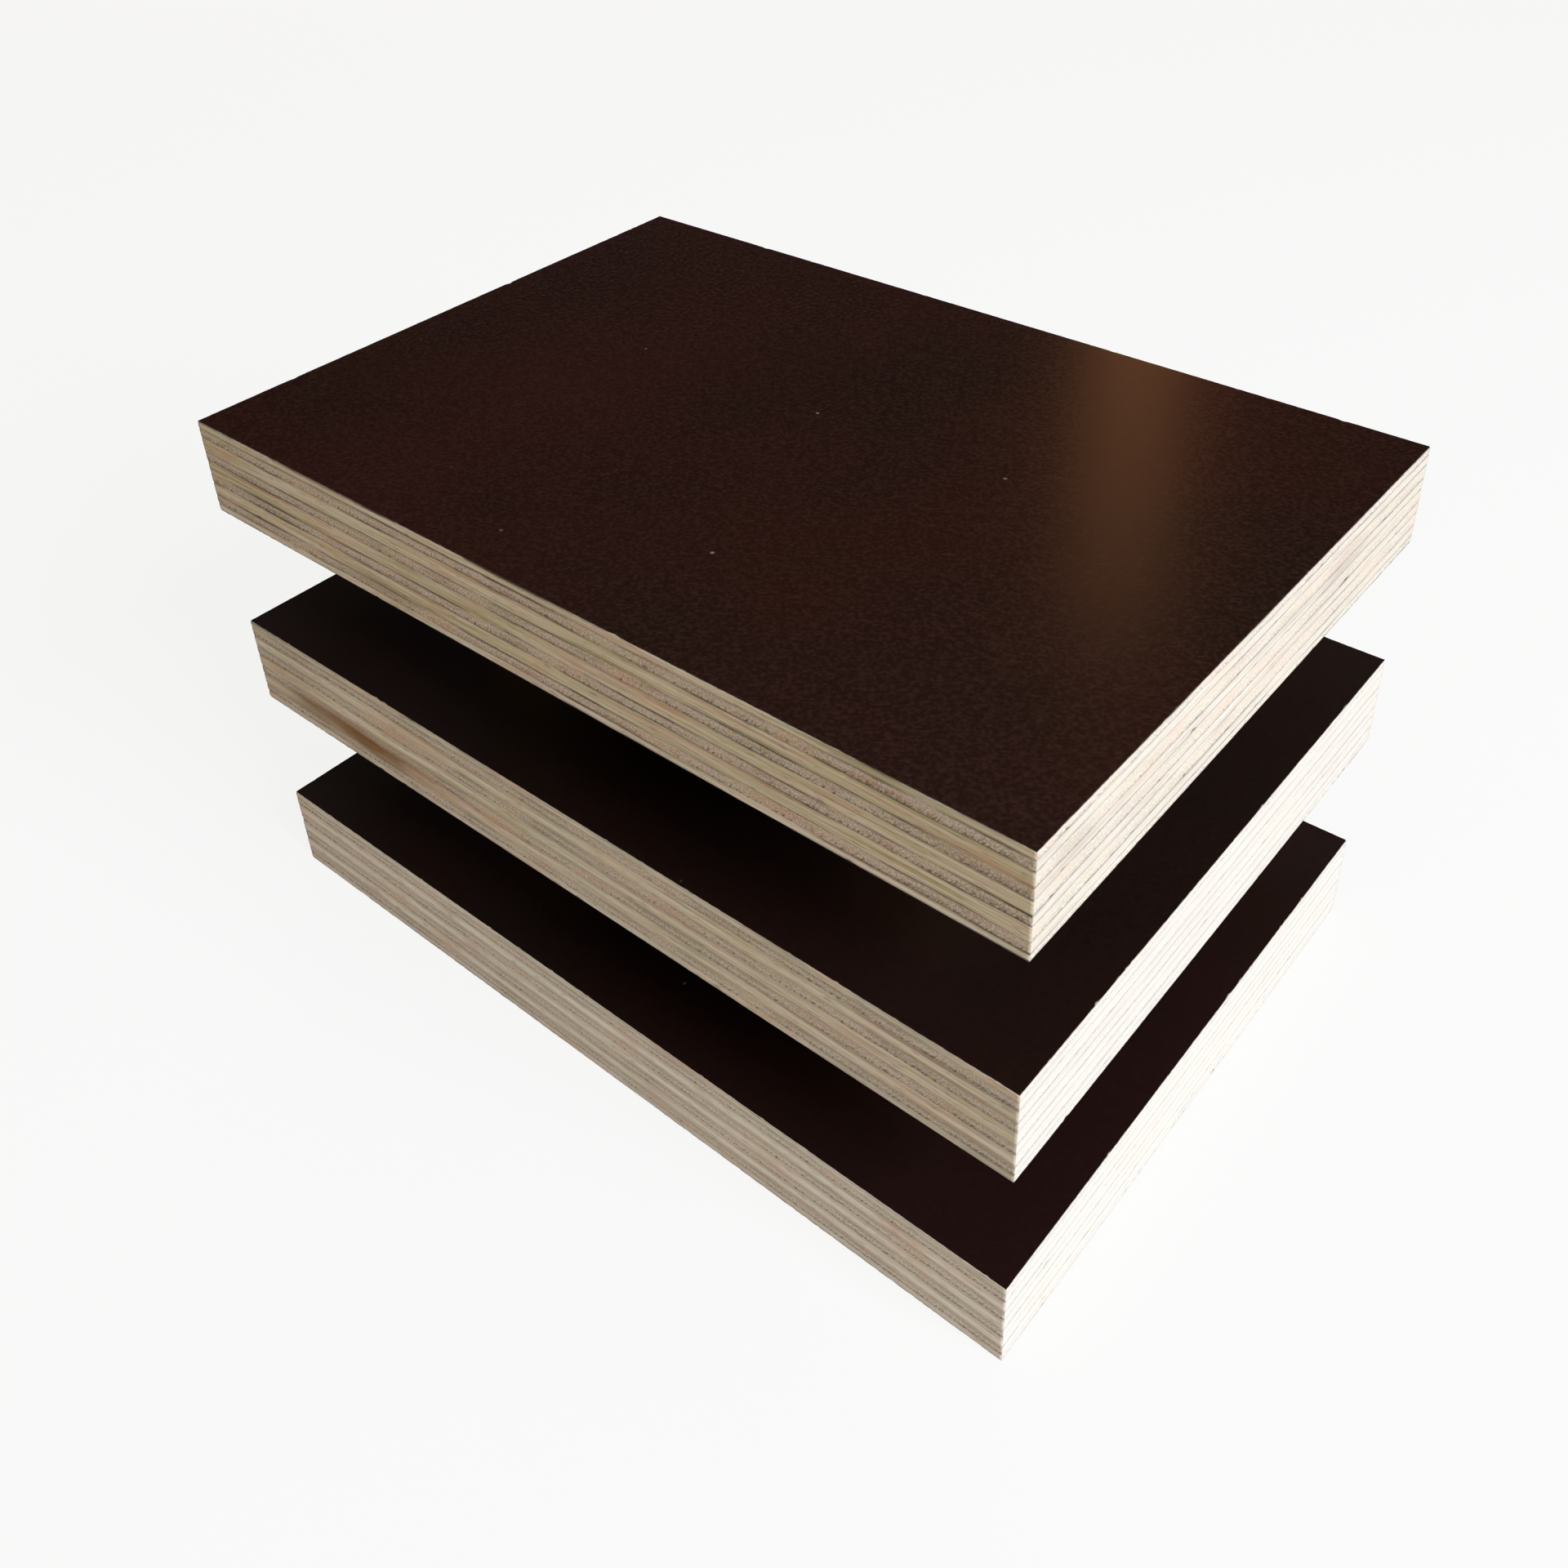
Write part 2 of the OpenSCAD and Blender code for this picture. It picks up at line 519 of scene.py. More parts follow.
# %% Spruce material
RING_SPACING = 2.6 * MM
RING_SIZE = (RING_SPACING, 12 * RING_SPACING, RING_SPACING)  # rings hardly change along the grain
RING_WAVER = {"Distortion": 1.2, "Detail": 2, "Detail Scale": 0.6}
RING_TONES = [(0.0, "#e0c797"), (0.6, "#d8b981"), (0.92, "#b98a4f"), (1.0, "#d9bd88")]
HEART = (9 * MM, 0, -16 * MM)  # a point of the axis that the rings lie round
WAVE_PERIOD = math.tau / 20  # a Wave texture of this scale has one ring for each unit
SPRUCE_PATTERNS = {"fibre": ((0.4, 18, 0.4), (0, 0), 3)}
SPRUCE_MARKS = {"fibre": ("fibre", 0.45, 0.75, 0.0, 0.35)}
SPRUCE_FIBRE_COLOUR = "#9a7444"
SPRUCE_ROUGHNESS = 0.7


def spruce_material(name):
    """Planed spruce: pale yellow, with growth rings and a dry sheen."""
    material, tree = new_material(name)
    place = add_node(tree, "ShaderNodeTexCoord").outputs["Object"]
    spread = add_node(
        tree, "ShaderNodeMapping", {"Vector": place, "Location": HEART, "Scale": RING_SIZE},
        vector_type="TEXTURE",
    )
    rings = add_node(
        tree, "ShaderNodeTexWave", {"Vector": spread, "Scale": WAVE_PERIOD, **RING_WAVER},
        wave_type="RINGS", rings_direction="Y", wave_profile="SAW",
    )
    tone = add_node(tree, "ShaderNodeValToRGB", {"Fac": rings.outputs["Fac"]}, stops=RING_TONES)
    noise = solid_noises(tree, SPRUCE_PATTERNS)
    marks = noise_marks(tree, noise, SPRUCE_MARKS)
    colour = paint_over(tree, tone, [(marks["fibre"], SPRUCE_FIBRE_COLOUR)])
    bump = add_node(
        tree, "ShaderNodeBump",
        {"Height": noise["fibre"], "Strength": FIBRE_RELIEF, "Distance": FIBRE_DEPTH},
    )
    shader = add_node(
        tree, "ShaderNodeBsdfPrincipled",
        {"Base Color": colour, "Normal": bump, "Roughness": SPRUCE_ROUGHNESS,
         "Specular IOR Level": WOOD_GLOSS},
    )
    add_node(tree, "ShaderNodeOutputMaterial", {"Surface": shader.outputs["BSDF"]})
    return material


spruce = spruce_material("planed_spruce")
print("spruce rings every", RING_SPACING / MM, "mm")

# %% [markdown]
# ## One sawn layer, as a rule
# A veneer and a film are the same thing to a saw: a layer with a rectangular outline and a thin
# wall. One could be modelled and copied, but then every seam would be alike. A Geometry Nodes group
# states the rule once instead, and makes a new layer from each set of numbers: its sizes, its
# seams, how badly it is torn, and how it looks.

# %% Start the group for a sawn layer
def new_group(name, sockets):
    """An empty geometry tree with one geometry output, and the sockets of its named inputs."""
    tree = bpy.data.node_groups.new(name, "GeometryNodeTree")
    tree.interface.new_socket("Geometry", in_out="OUTPUT", socket_type="NodeSocketGeometry")
    for label, kind in sockets:
        tree.interface.new_socket(label, in_out="INPUT", socket_type=f"NodeSocket{kind}")
    return tree, add_node(tree, "NodeGroupInput").outputs


layer_tree, given = new_group("sawn_layer", [
    ("Length", "Float"), ("Width", "Float"), ("Level", "Float"), ("Thickness", "Float"),
    ("Cuts", "Int"), ("Rows", "Int"),
    ("Lower Seam", "Float"), ("Upper Seam", "Float"), ("Lower Wave", "Float"), ("Upper Wave", "Float"),
    ("Tear", "Float"), ("Tear Size", "Vector"), ("Chips", "Float"), ("Ply Number", "Float"),
    ("Pale", "Float"), ("Glue", "Float"), ("Glue Reach", "Float"), ("Fresh", "Float"),
])
print("a sawn layer takes", len(layer_tree.interface.items_tree) - 1, "numbers")

# %% [markdown]
# ## The straight slab
# The group walks round the outline in short steps and drops a strip of small faces down from it, so
# that there are points to move on the wall. A plain box would have none. A lid and a base close it,
# and merging the points where they meet makes it one shell.

# %% Build the straight slab
MERGE = 0.001 * MM

outline = add_node(
    layer_tree, "GeometryNodeCurvePrimitiveQuadrilateral",
    {"Width": given["Length"], "Height": given["Width"]},
)
walk = add_node(layer_tree, "GeometryNodeSubdivideCurve", {"Curve": outline, "Cuts": given["Cuts"]})
drop = add_node(layer_tree, "ShaderNodeCombineXYZ", {"Y": given["Thickness"]})
fall = add_node(layer_tree, "GeometryNodeCurvePrimitiveLine", {"End": drop})
rows = add_node(layer_tree, "GeometryNodeResampleCurve", {"Curve": fall, "Count": given["Rows"]})
wall = add_node(layer_tree, "GeometryNodeCurveToMesh", {"Curve": walk, "Profile Curve": rows})
lid = add_node(layer_tree, "GeometryNodeFillCurve", {"Curve": walk})
under = add_node(layer_tree, "ShaderNodeMath", {0: given["Thickness"], 1: -1}, operation="MULTIPLY")
down = add_node(layer_tree, "ShaderNodeCombineXYZ", {"Z": under})
lowered = add_node(layer_tree, "GeometryNodeTransform", {"Geometry": lid, "Translation": down})
base = add_node(layer_tree, "GeometryNodeFlipFaces", {"Mesh": lowered})
closed = add_node(layer_tree, "GeometryNodeJoinGeometry")
for part in (base, lid, wall):
    layer_tree.links.new(part.outputs[0], closed.inputs[0])
slab = add_node(layer_tree, "GeometryNodeMergeByDistance", {"Geometry": closed, "Distance": MERGE})
print("with its slab the group has", len(layer_tree.nodes), "nodes")

# %% [markdown]
# ## What a point knows
# The veneer material asks each point how far it is from the two seams and how near to a corner of
# the sheet. A shader can't measure that, so it is measured here, while the slab is still straight,
# and stored on the points, beside the numbers that say how this sheet looks.

# %% Store what the material reads
WEAR_REACH = 60 * MM  # how far from a corner the lathe checks gape more

position = add_node(layer_tree, "GeometryNodeInputPosition")
spot = add_node(layer_tree, "ShaderNodeSeparateXYZ", {0: position}).outputs
above = add_node(layer_tree, "ShaderNodeMath", {0: spot["Z"], 1: given["Thickness"]}, operation="ADD")
above_mm = add_node(layer_tree, "ShaderNodeMath", {0: above, 1: 1 / MM}, operation="MULTIPLY")
below_mm = add_node(layer_tree, "ShaderNodeMath", {0: spot["Z"], 1: -1 / MM}, operation="MULTIPLY")
inset = []
for axis, size in (("X", "Length"), ("Y", "Width")):
    far = add_node(layer_tree, "ShaderNodeMath", {0: given[size], 1: 0.5}, operation="MULTIPLY")
    off = add_node(layer_tree, "ShaderNodeMath", {0: spot[axis]}, operation="ABSOLUTE")
    inset.append(add_node(layer_tree, "ShaderNodeMath", {0: far, 1: off}, operation="SUBTRACT"))
from_corner = add_node(layer_tree, "ShaderNodeMath", {0: inset[0], 1: inset[1]}, operation="ADD")
wear = add_node(
    layer_tree, "ShaderNodeMapRange",
    {"Value": from_corner, "From Max": WEAR_REACH, "To Min": 1, "To Max": 0},
)
marked = slab
for label, value in (
    ("from_lower", above_mm), ("from_upper", below_mm), ("corner_wear", wear),
    ("ply_number", given["Ply Number"]), ("pale", given["Pale"]), ("glue", given["Glue"]),
    ("glue_reach", given["Glue Reach"]), ("fresh", given["Fresh"]),
):
    marked = add_node(
        layer_tree, "GeometryNodeStoreNamedAttribute", {"Geometry": marked, "Name": label, "Value": value},
        data_type="FLOAT", domain="POINT",
    )
print("with its attributes the group has", len(layer_tree.nodes), "nodes")

# %% [markdown]
# ## Seams that wander
# Glue and wood spread unevenly under the press, so a real seam rises and falls. Each seam could be
# drawn as a curve, but the stack has 24 of them, so a noise moves the points up and down. It depends
# on the seam's own number and not on the layer's, so the two layers that share a seam still meet.
# Between its two seams a layer's points move by a mixture of both.

# %% Let the seams wander
SEAM_WAVE_SIZE = 22 * MM

level_spot = add_node(layer_tree, "ShaderNodeCombineXYZ", {"X": spot["X"], "Y": spot["Y"]})
wander = {}
for side in ("Lower", "Upper"):
    wave = add_node(
        layer_tree, "ShaderNodeTexNoise",
        {"Vector": level_spot, "W": given[f"{side} Seam"], "Scale": 1 / SEAM_WAVE_SIZE, "Detail": 4},
        noise_dimensions="4D",
    )
    swing = add_node(
        layer_tree, "ShaderNodeMapRange", {"Value": wave.outputs["Fac"], "To Min": -1, "To Max": 1}
    )
    wander[side] = add_node(
        layer_tree, "ShaderNodeMath", {0: swing, 1: given[f"{side} Wave"]}, operation="MULTIPLY"
    )
share = add_node(layer_tree, "ShaderNodeMath", {0: above, 1: given["Thickness"]}, operation="DIVIDE")
rise = add_node(layer_tree, "ShaderNodeMix", {"Factor": share, "A": wander["Lower"], "B": wander["Upper"]})
print("seams rise and fall over about", SEAM_WAVE_SIZE / MM, "mm")

# %% [markdown]
# ## How deep the saw tears
# A saw leaves a wall that is never smooth: fine fibres are pulled out all along it, chips break out
# here and there, and the brittle glue leaves a groove at each seam. Each of these is a depth, and
# the three add up. Displacement in the material would do the same, but meshes made from it would
# stay flat, so the points themselves move.

# %% Add up the depth of the tears
CHIP_SIZE = 2.2 * MM
CHIP_RANGE = {"From Min": 0.62, "From Max": 0.8}  # how high the noise is where a chip starts and is full
GROOVE = 0.05 * MM
GROOVE_REACH = 0.32  # mm from the seam

in_grain = add_node(
    layer_tree, "ShaderNodeVectorMath", {0: position, 1: given["Tear Size"]}, operation="DIVIDE"
)
fibre = add_node(
    layer_tree, "ShaderNodeTexNoise",
    {"Vector": in_grain, "W": given["Ply Number"], "Scale": 1, "Detail": 2}, noise_dimensions="4D",
)
torn = add_node(
    layer_tree, "ShaderNodeMath", {0: fibre.outputs["Fac"], 1: given["Tear"]}, operation="MULTIPLY"
)
chip_noise = add_node(
    layer_tree, "ShaderNodeTexNoise",
    {"Vector": position, "W": given["Ply Number"], "Scale": 1 / CHIP_SIZE, "Detail": 2},
    noise_dimensions="4D",
)
chip = add_node(
    layer_tree, "ShaderNodeMapRange",
    {"Value": chip_noise.outputs["Fac"], "To Max": given["Chips"], **CHIP_RANGE},
)
seam = add_node(layer_tree, "ShaderNodeMath", {0: above_mm, 1: below_mm}, operation="MINIMUM")
groove = add_node(
    layer_tree, "ShaderNodeMapRange",
    {"Value": seam, "From Max": GROOVE_REACH, "To Min": GROOVE, "To Max": 0},
)
depth = torn
for more in (chip, groove):
    depth = add_node(layer_tree, "ShaderNodeMath", {0: depth, 1: more}, operation="ADD")
print("a groove of", GROOVE / MM, "mm runs along each seam")

# %% [markdown]
# ## Move the points and seat the layer
# Tears only go inwards, so the sheet keeps its size. The way out of the sheet is -1, 0 or 1 along X
# and along Y: a point's place as a share of half the outline, cut down to a whole number, is 0
# everywhere but on the wall. The layer was made with its lid at zero, so it is lifted to its level
# last, after its noises have been read.

# %% Move the points and seat the layer
CORNER_SLACK = 1.0001  # a point this near the outline counts as on it

outward = add_node(layer_tree, "ShaderNodeCombineXYZ")
for axis, size in (("X", "Length"), ("Y", "Width")):
    half = add_node(
        layer_tree, "ShaderNodeMath", {0: given[size], 1: 0.5 / CORNER_SLACK}, operation="MULTIPLY"
    )
    ratio = add_node(layer_tree, "ShaderNodeMath", {0: spot[axis], 1: half}, operation="DIVIDE")
    whole = add_node(layer_tree, "ShaderNodeMath", {0: ratio}, operation="TRUNC")
    layer_tree.links.new(whole.outputs[0], outward.inputs[axis])
inward = add_node(layer_tree, "ShaderNodeMath", {0: depth, 1: -1}, operation="MULTIPLY")
tear = add_node(layer_tree, "ShaderNodeVectorMath", {0: outward, "Scale": inward}, operation="SCALE")
lift = add_node(layer_tree, "ShaderNodeCombineXYZ", {"Z": rise})
shift = add_node(layer_tree, "ShaderNodeVectorMath", {0: tear, 1: lift}, operation="ADD")
sawn = add_node(layer_tree, "GeometryNodeSetPosition", {"Geometry": marked, "Offset": shift})
top_level = add_node(
    layer_tree, "ShaderNodeMath", {0: given["Level"], 1: given["Thickness"]}, operation="ADD"
)
seat = add_node(layer_tree, "ShaderNodeCombineXYZ", {"Z": top_level})
seated = add_node(layer_tree, "GeometryNodeTransform", {"Geometry": sawn, "Translation": seat})
add_node(layer_tree, "NodeGroupOutput", {0: seated})
print("the sawn layer group has", len(layer_tree.nodes), "nodes")

# %% [markdown]
# ## From a tree to a piece
# A live modifier would be worked out again at every step, and instances get lost on export. So a tree
# runs once: its inputs are set by their identifiers, the object is evaluated, and the result is kept
# as a plain mesh, with the modifier removed.

# %% Helper that runs a tree
def make_piece(name, tree, values):
    """Runs a geometry tree once and keeps its result as a plain mesh at the origin."""
    piece = bpy.data.objects.new(name, bpy.data.meshes.new(name))
    bpy.context.scene.collection.objects.link(piece)
    modifier = piece.modifiers.new("build", "NODES")
    modifier.node_group = tree
    for item in tree.interface.items_tree:
        if item.in_out == "INPUT" and item.name in values:
            modifier[item.identifier] = values[item.name]
    bpy.context.view_layer.update()
    mesh = bpy.data.meshes.new_from_object(piece.evaluated_get(bpy.context.evaluated_depsgraph_get()))
    piece.modifiers.remove(modifier)
    piece.data = mesh
    mesh.name = name
    return piece


print("trees ready to run:", [tree.name for tree in bpy.data.node_groups])

# %% [markdown]
# ## Laying up a sheet
# A sheet's veneers of one grain direction become one piece, because they share a finish. The piece's
# tree holds one node of the group above for each veneer, with the level and thickness that the frame
# gives, and joins them. It ends in Realize Instances and Set Material.

# %% Helper that lays up layers
OUTLINE_CUTS = 299


def lay_up(name, layers, material):
    """One piece from several sawn layers. Each layer is its node and the group's own settings."""
    tree, sizes = new_group(name, [("Length", "Float"), ("Width", "Float"), ("Material", "Material")])
    joined = add_node(tree, "GeometryNodeJoinGeometry")
    for node, settings in layers:
        _, _, level, thickness = layer_size(node)
        layer = add_node(
            tree, "GeometryNodeGroup",
            {"Length": sizes["Length"], "Width": sizes["Width"], "Level": level, "Thickness": thickness,
             "Cuts": OUTLINE_CUTS, **settings},
            node_tree=layer_tree,
        )
        tree.links.new(layer.outputs[0], joined.inputs[0])
    real = add_node(tree, "GeometryNodeRealizeInstances", {"Geometry": joined})
    dressed = add_node(tree, "GeometryNodeSetMaterial", {"Geometry": real, "Material": sizes["Material"]})
    add_node(tree, "NodeGroupOutput", {0: dressed})
    piece = make_piece(name, tree, {"Length": LENGTH, "Width": WIDTH, "Material": material})
    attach(piece, "root")
    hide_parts(*[node for node, _ in layers])
    return piece


print(f"a step along the outline is {max(LENGTH, WIDTH) / (OUTLINE_CUTS + 1) / MM:.2f} mm at most")

# %% [markdown]
# ## How each veneer was laid
# The three sheets aren't alike: the top one has dark glue that keeps to its seams, and the lower ones
# are paler, with weak glue that spreads wide. Part of that paleness is their wood, and on the bottom
# sheet part is painted light, which makes up for the shade near the floor. The saw pulls fibres out
# along the grain, so a tear is long one way and fine the other. The outer sides of the two face veneers
# stay flat, because the film is pressed on them. A table holds what differs from sheet to sheet, and a
# function works out the rest, so that no veneer needs numbers of its own.

# %% Settings of a veneer
SHEET_LOOKS = {
    # Pale: how pale the wood is, and on the bottom sheet also painted light against the shade near the
    # floor. Glue: how dark the glue is, and how far it reaches in mm.
    # Last: how much paler the faces that look right are painted, as painted light from the lamp on the
    # right.
    # Painted light: part of the bottom sheet's paleness makes up for the shade near the floor.
    "bottom_sheet": {"Pale": 2.6, "Glue": 0.24, "Glue Reach": 1.0, "Fresh": 0.66},
    "middle_sheet": {"Pale": 0.8, "Glue": 0.40, "Glue Reach": 1.0, "Fresh": 0.65},
    "top_sheet": {"Pale": 0.0, "Glue": 1.0, "Glue Reach": 0.42, "Fresh": 0.42},
}
FACE_PALENESS = {VENEERS[0]: 1.6, VENEERS[-1]: 0.7}  # added on the two face veneers
NUMBERS_A_SHEET = 10
VENEER_ROWS = 7
SEAM_WAVE = 0.16 * MM
VENEER_TEAR = 0.10 * MM
VENEER_CHIPS = 0.20 * MM
LONG_TEAR_SIZE = Vector((9, 0.6, 0.5)) * MM
CROSS_TEAR_SIZE = Vector((0.6, 9, 0.5)) * MM


def veneer_layer(sheet, veneer):
    """A veneer's node and how it was laid: its seams, its looks, and the grain that the saw tears."""
    number = NUMBERS_A_SHEET * SHEETS.index(sheet) + veneer
    looks = SHEET_LOOKS[sheet]
    return f"{sheet}_veneer_{veneer}", {
        **looks,
        "Pale": looks["Pale"] + FACE_PALENESS.get(veneer, 0.0),
        "Rows": VENEER_ROWS,
        "Ply Number": float(number),
        "Lower Seam": number - 1.0,
        "Upper Seam": float(number),
        "Lower Wave": SEAM_WAVE if veneer > VENEERS[0] else 0.0,
        "Upper Wave": SEAM_WAVE if veneer < VENEERS[-1] else 0.0,
        "Tear": VENEER_TEAR,
        "Tear Size": LONG_TEAR_SIZE if veneer % 2 else CROSS_TEAR_SIZE,
        "Chips": VENEER_CHIPS,
    }


print("a veneer is laid with", len(veneer_layer("top_sheet", VENEERS[0])[1]), "settings")

# %% [markdown]
# ## The twelve pieces of the sheets
# Each sheet is four pieces: its long veneers, its cross veneers and its two films. A film is one
# thin layer with a ragged edge, because brittle resin chips off under the saw. It could be a plain
# plate, but the same group makes it with other numbers, and then its edge is torn too. Its wall needs
# few rows, because no seam wanders through it.

# %% Lay up the three sheets
FIRST_FILM_NUMBER = 40
FILM_ROWS = 3
FILM_TEAR = 0.22 * MM
FILM_CHIPS = 0.35 * MM
FILM_TEAR_SIZE = Vector((1.1, 1.1, 1.1)) * MM


def film_layer(sheet, side):
    """A film's node and its ragged edge."""
    number = FIRST_FILM_NUMBER + 2 * SHEETS.index(sheet) + (side == "face")
    return f"{sheet}_{side}_film", {
        "Rows": FILM_ROWS,
        "Ply Number": float(number),
        "Tear": FILM_TEAR,
        "Tear Size": FILM_TEAR_SIZE,
        "Chips": FILM_CHIPS,
    }


GRAINS = (("long", VENEERS[::2], long_veneer), ("cross", VENEERS[1::2], cross_veneer))
veneer_pieces = []
for sheet in SHEETS:
    for grain, plies, material in GRAINS:
        layers = [veneer_layer(sheet, veneer) for veneer in plies]
        piece = lay_up(f"{sheet}_{grain}_veneers", layers, material)
        veneer_pieces.append(piece)
        print(piece.name, len(piece.data.polygons), "faces")
    # The lower sheets get the film with painted shade.
    film = brown_film if sheet == "top_sheet" else painted_shade_film
    for side in ("back", "face"):
        piece = lay_up(f"{sheet}_{side}_skin", [film_layer(sheet, side)], film)
        print(piece.name, len(piece.data.polygons), "faces")

# %% [markdown]
# ## Stains in the wood
# A few veneers carry orange and brown patches, where the tree had sap or a knot nearby. They sit at
# chosen places, so a noise can't give them. They are kept as an attribute on the points near each
# patch, and the veneer material colours them. A stain is placed by the edge that it shows on: how
# far along that edge, how high above the underside of the sheet, and its half length and half
# height, all in millimetres.

# %% Where the stains are
STAINS = (
    # Sheet, edge, along, above, half length, half height, strength
    ("middle_sheet", "front", 29, 5.2, 24, 2.6, 1.9),
    ("top_sheet", "right", 8, 12.0, 6, 2.2, 1.0),
    ("top_sheet", "right", 84, 12.0, 8, 2.6, 0.9),
    ("top_sheet", "front", 46, 3.0, 10, 1.8, 0.7),
)
STAIN_DEPTH = 8.0  # how far it goes into the wood
STAIN_EDGE = 1.3  # where a stain ends, in its own half sizes


def points_of(mesh):
    """The mesh's points as an array."""
    points = np.empty(3 * len(mesh.vertices))
    mesh.vertices.foreach_get("co", points)
    return points.reshape(-1, 3)


def stain_of(points, sheet):
    """How stained each point of a sheet is, from 0 up to the strength of the stain."""
    level = layer_size(f"{sheet}_back_film")[2]
    found = np.zeros(len(points))
    for owner, edge, along, above, half_length, half_height, strength in STAINS:
        if owner != sheet:
            continue
        if edge == "front":
            middle = np.array([-LENGTH / 2 + along * MM, -WIDTH / 2, level + above * MM])
            reach = np.array([half_length, STAIN_DEPTH, half_height]) * MM
        else:
            middle = np.array([LENGTH / 2, -WIDTH / 2 + along * MM, level + above * MM])
            reach = np.array([STAIN_DEPTH, half_length, half_height]) * MM
        distance = np.linalg.norm((points - middle) / reach, axis=1)
        found = np.maximum(found, strength * np.clip(STAIN_EDGE - distance, 0, 1))
    return found


print(len(STAINS), "stains, the longest", 2 * max(stain[4] for stain in STAINS), "mm")

# %% Mark the stained points
for piece in veneer_pieces:
    sheet = piece.name.rsplit("_", 2)[0]
    values = stain_of(points_of(piece.data), sheet)
    attribute = piece.data.attributes.new("stain", "FLOAT", "POINT")
    attribute.data.foreach_set("value", values)
    print(piece.name, "has", int((values > 0).sum()), "stained points")

# %% [markdown]
# ## Room for the edges on a texture map
# When the materials are baked for other programs, the hidden lids of the veneers would take nearly
# all of a map and the thin edges almost none. An automatic unwrap can't know which faces matter, so
# each veneer piece brings its own map: every edge gets a strip of the full width, and the lids share
# one low row.

# %% Read an attribute back
def values_of(mesh, label):
    """One stored attribute of the mesh's points, as an array."""
    values = np.empty(len(mesh.vertices))
    mesh.attributes[label].data.foreach_get("value", values)
    return values


thickest = values_of(veneer_pieces[0].data, "from_lower").max()
print(f"the thickest veneer of {veneer_pieces[0].name} measures {thickest:.1f} mm")

# %% Lay the edges out as strips
LID_ROW = 0.07  # the share of the map that the lids get
MAP_GAP = 0.004  # kept clear round each strip and box
LID_SLOPE = 0.7  # a face whose normal is more upright than this belongs to a lid


def lay_out_strips(mesh):
    """Gives each of the four edges of each veneer a strip, and the lids a row of small boxes."""
    layer = mesh.uv_layers.new(name="OFBake")
    plies, ply = np.unique(values_of(mesh, "ply_number"), return_inverse=True)
    below, above = values_of(mesh, "from_upper"), values_of(mesh, "from_lower")
    height = above / (above + below)
    across = np.clip(points_of(mesh)[:, :2] / (LENGTH, WIDTH) + 0.5, 0, 1)
    strip = (1 - LID_ROW) / (4 * len(plies))
    box = 1 / (2 * len(plies))
    places = np.empty((len(mesh.loops), 2))
    for face in mesh.polygons:
        corners = list(face.loop_indices)
        used = list(face.vertices)
        normal = face.normal
        if abs(normal.z) > LID_SLOPE:
            number = 2 * ply[used[0]] + (normal.z > 0)
            left, low, wide, high = number * box, 0, box, LID_ROW
            inner = across[used]
        else:
            along_x = abs(normal.y) > abs(normal.x)
            number = 4 * ply[used[0]] + 2 * along_x + ((normal.y if along_x else normal.x) > 0)
            left, low, wide, high = 0, LID_ROW + number * strip, 1, strip
            inner = np.stack([across[used][:, 0 if along_x else 1], height[used]], 1)
        corner = np.array([left + MAP_GAP, low + MAP_GAP])
        places[corners] = corner + inner * (wide - 2 * MAP_GAP, high - 2 * MAP_GAP)
    layer.data.foreach_set("uv", places.ravel())


for piece in veneer_pieces:
    lay_out_strips(piece.data)
print("edge strips laid out on", len(veneer_pieces), "pieces")

# %% [markdown]
# ## The spacers
# A spacer is a planed batten with its long edges eased and its ends sawn square. A box with a Bevel
# modifier would ease the ends too. A section swept along a line eases only the long edges, so the
# batten gets a small tree of its own: a rectangle with its corners rounded, swept across the sheet,
# with its ends closed.

# %% Build the tree of a batten
SPACER_ROWS = 60
ARRIS = 1.0 * MM
ARRIS_STEPS = 3

batten_tree, given = new_group("batten", [
    ("Low", "Vector"), ("High", "Vector"), ("Arris", "Float"), ("Material", "Material"),
])
middle = add_node(
    batten_tree, "ShaderNodeMix", {"Factor": 0.5, "A": given["Low"], "B": given["High"]}, data_type="VECTOR"
)
span = add_node(
    batten_tree, "ShaderNodeVectorMath", {0: given["High"], 1: given["Low"]}, operation="SUBTRACT"
)
side = add_node(batten_tree, "ShaderNodeSeparateXYZ", {0: span}).outputs
section = add_node(
    batten_tree, "GeometryNodeCurvePrimitiveQuadrilateral", {"Width": side["X"], "Height": side["Z"]}
)
eased = add_node(
    batten_tree, "GeometryNodeFilletCurve",
    {"Curve": section, "Radius": given["Arris"], "Count": ARRIS_STEPS}, mode="POLY",
)
half = add_node(batten_tree, "ShaderNodeMath", {0: side["Y"], 1: 0.5}, operation="MULTIPLY")
back = add_node(batten_tree, "ShaderNodeMath", {0: half, 1: -1}, operation="MULTIPLY")
start = add_node(batten_tree, "ShaderNodeCombineXYZ", {"Y": back})
end = add_node(batten_tree, "ShaderNodeCombineXYZ", {"Y": half})
line = add_node(batten_tree, "GeometryNodeCurvePrimitiveLine", {"Start": start, "End": end})
run = add_node(batten_tree, "GeometryNodeResampleCurve", {"Curve": line, "Count": SPACER_ROWS})
swept = add_node(
    batten_tree, "GeometryNodeCurveToMesh", {"Curve": run, "Profile Curve": eased, "Fill Caps": True}
)
placed = add_node(
    batten_tree, "GeometryNodeTransform", {"Geometry": swept, "Translation": middle.outputs["Result"]}
)
real = add_node(batten_tree, "GeometryNodeRealizeInstances", {"Geometry": placed})
dressed = add_node(
    batten_tree, "GeometryNodeSetMaterial", {"Geometry": real, "Material": given["Material"]}
)
add_node(batten_tree, "NodeGroupOutput", {0: dressed})
print("the batten tree has", len(batten_tree.nodes), "nodes")

# %% [markdown]
# ## Four battens
# The same tree makes all four, each from the corners of the solid that it stands for. The wood's rings
# follow Object coordinates, so the four are cut from different parts of one tree.

